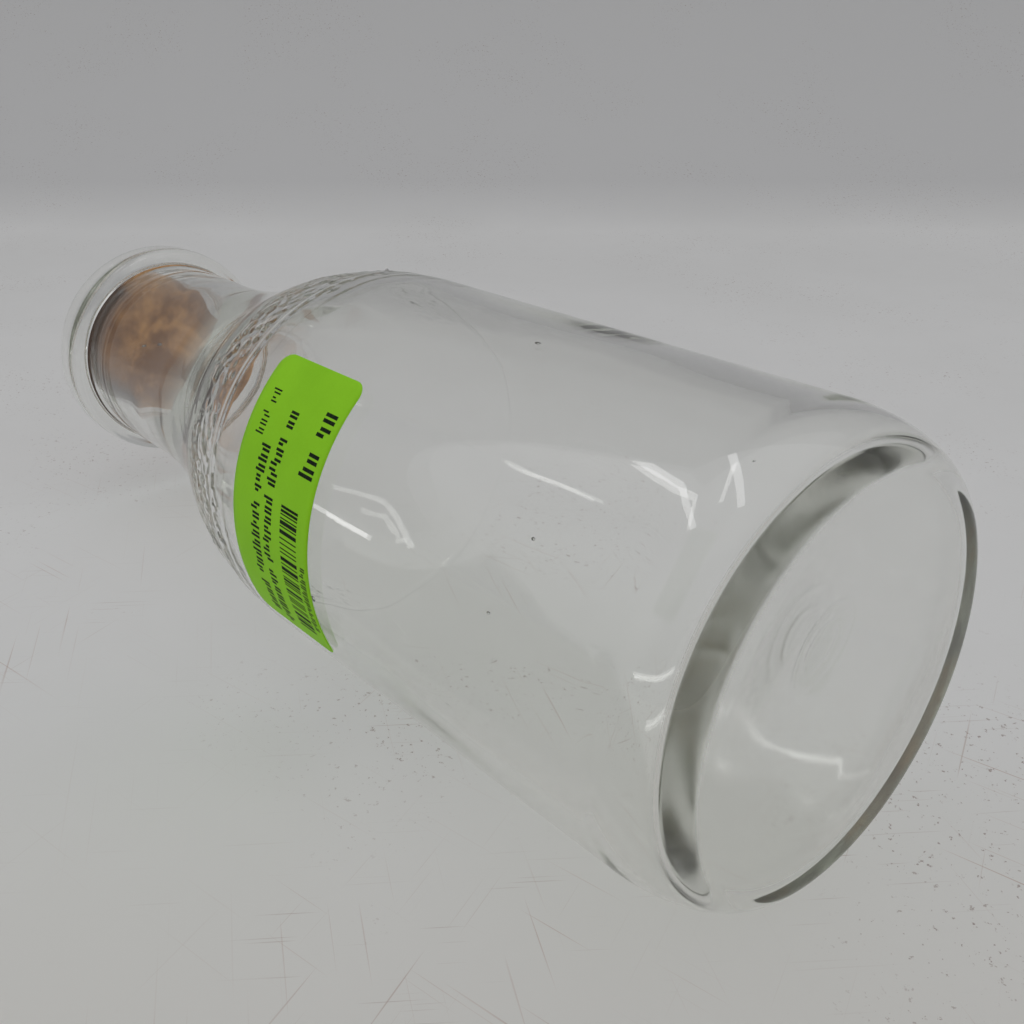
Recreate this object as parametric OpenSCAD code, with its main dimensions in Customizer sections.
// Round glass milk bottle with a waxed paper disc cap and an adhesive price label.
// The bottle stands upright: Z runs up its axis, and the origin is the centre of its standing ring.
// The label faces -Y, and the cap's pull tab points to +X.

/* [Bottle] */
// Height from the standing ring to the rim
bottle_h = 228.6; // [190:0.1:276]
// Outer diameter of the straight body
body_d = 80.2; // [66:0.1:97]
// Glass thickness of the straight body
wall = 3.2; // [2.4:0.1:4.2]
// Height of the straight body's top, where the shoulder starts
shoulder_z = 107.5; // [89:0.5:130]
// Share of the shoulder's curve that bulges outward before it turns hollow
shoulder_bulge = 0.394; // [0.3:0.01:0.5]
// Length of the straight neck under the lip
neck_l = 24; // [20:0.5:29]
// Glass thickness of the neck
neck_wall = 5.3; // [4.4:0.1:6.4]
// Height of the thin raised ring above the shoulder's start
ring_up = 10; // [8:0.5:12]
// How far the raised ring stands out of the glass
ring_proud = 0.2; // [0.15:0.05:0.4]

/* [Base] */
// Width of the outer heel curve, from the side to the standing ring
heel_w = 7.1; // [5.5:0.1:8.6]
// Height of the outer heel curve
heel_h = 16; // [13:0.5:19.5]
// Width of the flat standing ring
standing_w = 2.6; // [2:0.1:3.2]
// Depth of the pushed-up base at its centre
push_up = 4; // [3:0.5:5]
// Glass thickness of the base
floor_t = 6.5; // [5.2:0.1:7.8]
// Width of the inner heel curve, from the inside of the wall to the floor
inner_heel_w = 4.5; // [3.5:0.1:5.5]
// Height of the inner heel curve
inner_heel_h = 8; // [6.5:0.5:10]

/* [Lip and cap seat] */
// Diameter of the paper cap
cap_d = 41.3; // [34:0.1:50]
// Radial gap between the cap and its seat
cap_gap = 0.35; // [0.3:0.01:0.45]
// Width of the ledge that the cap rests on
ledge_w = 2; // [1.6:0.1:2.4]
// Depth of the ledge below the rim
seat_depth = 7.6; // [6.3:0.1:9.2]
// Glass thickness of the lip, from the cap's seat to its outer band
lip_wall = 7.2; // [6:0.1:8.7]
// Height of the lip bead
lip_h = 12; // [10:0.5:14.5]
// Height of the straight band round the lip
band_h = 4; // [3:0.5:5]

/* [Cap] */
// Thickness of the cap's waxed board
cap_t = 1.1; // [0.8:0.1:1.6]
// Width of the paper pull tab
tab_w = 12; // [8:0.5:14]
// Thickness of the pull tab's paper
tab_t = 0.35; // [0.25:0.05:0.5]
// Length of the tab's stapled foot
foot_l = 8; // [6:0.5:9]
// Length of the tab's free flap
flap_l = 12; // [9:0.5:14]
// Distance from the bottle's axis to the tab's crease
crease_x = 3; // [1:0.5:4]
// Diameter of the staple's wire
wire_d = 0.6; // [0.4:0.05:0.7]
// Distance between the staple's legs
leg_pitch = 6; // [4:0.5:7]

/* [Label] */
// Length of the label round the body
label_l = 54.6; // [44:0.1:66]
// Width of the label along the body
label_w = 26; // [20:0.1:32]
// Thickness of the label
label_t = 0.12; // [0.08:0.01:0.2]
// Radius of the label's corners
label_corner = 3; // [1:0.5:5]
// Gap from the label's top edge to the start of the shoulder
label_drop = 0; // [0:0.5:20]

/* [Hidden] */
$fn = 96;
arc_steps = 12;
dome_steps = 16;
contact_gap = 0.05;
wire_gap = 0.05;

body_r = body_d / 2;
inner_r = body_r - wall;
seat_r = cap_d / 2 + cap_gap;
throat_r = seat_r - ledge_w;
neck_r = throat_r + neck_wall;
lip_r = seat_r + lip_wall;
seat_z = bottle_h - seat_depth;

// The lip: bead from lip_z up, with rounded edges above and below the straight band
lip_z = bottle_h - lip_h;
lip_fillet = 1.5;
band_top_z = bottle_h - (lip_h - band_h) * 0.56;
band_z = band_top_z - band_h;
rim_w = 1.2;
mouth_flare = lip_wall / 3;
rim_in_r = seat_r + mouth_flare;
rim_out_r = rim_in_r + rim_w;
ledge_round = ledge_w / 2;

// The shoulder: both curves end where the straight neck starts
neck_z = lip_z - lip_fillet - neck_l;
ring_z = shoulder_z + ring_up;

// The base: standing ring, pushed-up middle and the floor inside
standing_r = body_r - heel_w;
hollow_r = standing_r - standing_w;
floor_r = inner_r - inner_heel_w;

cap_z = seat_z + contact_gap;
cap_top_z = cap_z + cap_t;
foot_z = cap_top_z + contact_gap;
tab_top_z = foot_z + tab_t;
staple_x = crease_x - foot_l / 2;
crease_gap = 0.05;

label_top_z = shoulder_z - label_drop;
label_mid_z = label_top_z - label_w / 2;
label_half_angle = label_l / 2 / body_r * 180 / PI;
label_half_chord = body_r * sin(label_half_angle);

// Sum of the radii of two arcs that lead, tangent to each other, from radius r0 to r1 over height h
function arc_sum(r0, r1, h) = (pow(h, 2) + pow(r0 - r1, 2)) / (2 * (r0 - r1));

// Elliptical quarter from [r0, z0], where it runs along r, to [r1, z1], where it runs along z
function quarter(r0, z0, r1, z1, steps = arc_steps) =
    [for (i = [0 : steps]) let (a = 90 * i / steps)
        [r0 + (r1 - r0) * sin(a), z0 + (z1 - z0) * (1 - cos(a))]];

// The same quarter, running along z first
function quarter_up(r0, z0, r1, z1, steps = arc_steps) =
    [for (i = [0 : steps]) let (a = 90 * i / steps)
        [r0 + (r1 - r0) * (1 - cos(a)), z0 + (z1 - z0) * sin(a)]];

// Shoulder outline from a body of radius r0 up to a neck of radius r1
function shoulder(r0, r1) =
    let (h = neck_z - shoulder_z, sum = arc_sum(r0, r1, h))
    let (ra = sum * shoulder_bulge, rb = sum - ra, t = asin(h / sum))
    concat(
        [for (i = [0 : arc_steps]) let (a = t * i / arc_steps)
            [r0 - ra + ra * cos(a), shoulder_z + ra * sin(a)]],
        [for (i = [arc_steps - 1 : -1 : 0]) let (a = t * i / arc_steps)
            [r1 + rb - rb * cos(a), neck_z - rb * sin(a)]]);

// Height of the pushed-up base at radius r: flat in the middle and at the standing ring
function dome(r) = push_up * (1 + cos(180 * min(r, hollow_r) / hollow_r)) / 2;

// Dome from the axis out to radius r1, raised by lift
function dome_outline(r1, lift) =
    [for (i = [0 : dome_steps]) let (r = r1 * i / dome_steps) [r, dome(r) + lift]];

function reversed(p) = [for (i = [len(p) - 1 : -1 : 0]) p[i]];

function outer_outline() = concat(
    quarter(standing_r, 0, body_r, heel_h),
    shoulder(body_r, neck_r),
    quarter_up(neck_r, lip_z - lip_fillet, neck_r + lip_fillet, lip_z, 4),
    quarter(neck_r + lip_fillet, lip_z, lip_r, band_z, 6),
    quarter_up(lip_r, band_top_z, rim_out_r, bottle_h, 6));

function inner_outline() = concat(
    dome_outline(floor_r, floor_t),
    inner_heel(dome(floor_r) + floor_t),
    shoulder(inner_r, throat_r),
    quarter_up(throat_r, seat_z - ledge_round, throat_r + ledge_round, seat_z, 4),
    [[seat_r, seat_z]],
    reversed(quarter(rim_in_r, bottle_h, seat_r, bottle_h - mouth_flare, 6)));

// Inner heel curve from a floor at height z up to the wall, without its first point
function inner_heel(z) =
    [for (i = [1 : arc_steps]) quarter(floor_r, z, inner_r, z + inner_heel_h)[i]];

// Raised ring on the shoulder, as a bead bent round the glass
module shoulder_ring() {
    bead_r = ring_proud * 1.6;
    bulge_r = arc_sum(body_r, neck_r, neck_z - shoulder_z) * shoulder_bulge;
    surface_r = body_r - bulge_r + sqrt(pow(bulge_r, 2) - pow(ring_up, 2));
    rotate_extrude()
        translate([surface_r - bead_r + ring_proud, ring_z])
            circle(r = bead_r, $fn = 32);
}

// One moulded piece of glass: body, shoulder, neck, lip, cap seat and pushed-up base
module glass_bottle() {
    color([0.80, 0.84, 0.82, 0.45])
        union() {
            rotate_extrude()
                polygon(concat(
                    outer_outline(),
                    reversed(inner_outline()),
                    dome_outline(hollow_r, 0)));
            shoulder_ring();
        }
}

// Two round holes or legs, one each side of the tab's middle line
module leg_pair(z, h, r) {
    for (side = [-1, 1])
        translate([staple_x, side * leg_pitch / 2, z])
            cylinder(h = h, r = r, $fn = 24);
}

// Waxed board disc that rests on the ledge, pierced by the staple
module cap_disc() {
    color([0.55, 0.42, 0.33])
        difference() {
            translate([0, 0, cap_z])
                cylinder(h = cap_t, r = cap_d / 2);
            leg_pair(cap_z - 1, cap_t + 2, wire_d / 2 + wire_gap);
        }
}

// Stapled end of the paper pull tab
module tab_foot() {
    color([0.72, 0.60, 0.47])
        difference() {
            translate([crease_x - foot_l, -tab_w / 2, foot_z])
                cube([foot_l, tab_w, tab_t]);
            leg_pair(foot_z - 1, tab_t + 2, wire_d / 2 + wire_gap);
        }
}

// Free end of the pull tab, which folds up about the crease
module tab_flap() {
    end_r = tab_w / 2;
    color([0.72, 0.60, 0.47])
        translate([crease_x + crease_gap, 0, foot_z])
            union() {
                translate([0, -end_r, 0])
                    cube([flap_l - end_r, tab_w, tab_t]);
                translate([flap_l - end_r, 0, 0])
                    cylinder(h = tab_t, r = end_r);
            }
}

// Wire staple: crown over the foot, legs through foot and disc, ends clinched below
module tab_staple() {
    wire_r = wire_d / 2;
    crown_z = tab_top_z + contact_gap + wire_r;
    clinch_z = cap_z - contact_gap - wire_r;
    clinch_l = leg_pitch * 0.38;
    color([0.62, 0.63, 0.65])
        union() {
            leg_pair(clinch_z, crown_z - clinch_z, wire_r);
            translate([staple_x, -leg_pitch / 2, crown_z])
                rotate([-90, 0, 0])
                    cylinder(h = leg_pitch, r = wire_r, $fn = 24);
            for (side = [-1, 1]) {
                for (z = [crown_z, clinch_z])
                    translate([staple_x, side * leg_pitch / 2, z])
                        sphere(r = wire_r, $fn = 24);
                translate([staple_x, side * leg_pitch / 2, clinch_z])
                    rotate([side * 90, 0, 0])
                        cylinder(h = clinch_l, r = wire_r, $fn = 24);
            }
        }
}

// Flat outline of the label with round corners, as seen from the front
module label_outline() {
    x = label_half_chord - label_corner;
    y = label_w / 2 - label_corner;
    union() {
        square([2 * x, label_w], center = true);
        square([2 * label_half_chord, 2 * y], center = true);
        for (side = [-1, 1], end = [-1, 1])
            translate([side * x, end * y])
                circle(r = label_corner, $fn = 32);
    }
}

// Adhesive label wrapped round the front of the body
module price_label() {
    color([0.49, 0.72, 0.14])
        intersection() {
            translate([0, 0, label_top_z - label_w - 1])
                difference() {
                    cylinder(h = label_w + 2, r = body_r + label_t);
                    translate([0, 0, -1])
                        cylinder(h = label_w + 4, r = body_r);
                }
            translate([0, 0, label_mid_z])
                rotate([90, 0, 0])
                    linear_extrude(height = body_r * 2)
                        label_outline();
        }
}

glass_bottle();
cap_disc();
tab_foot();
tab_flap();
tab_staple();
price_label();
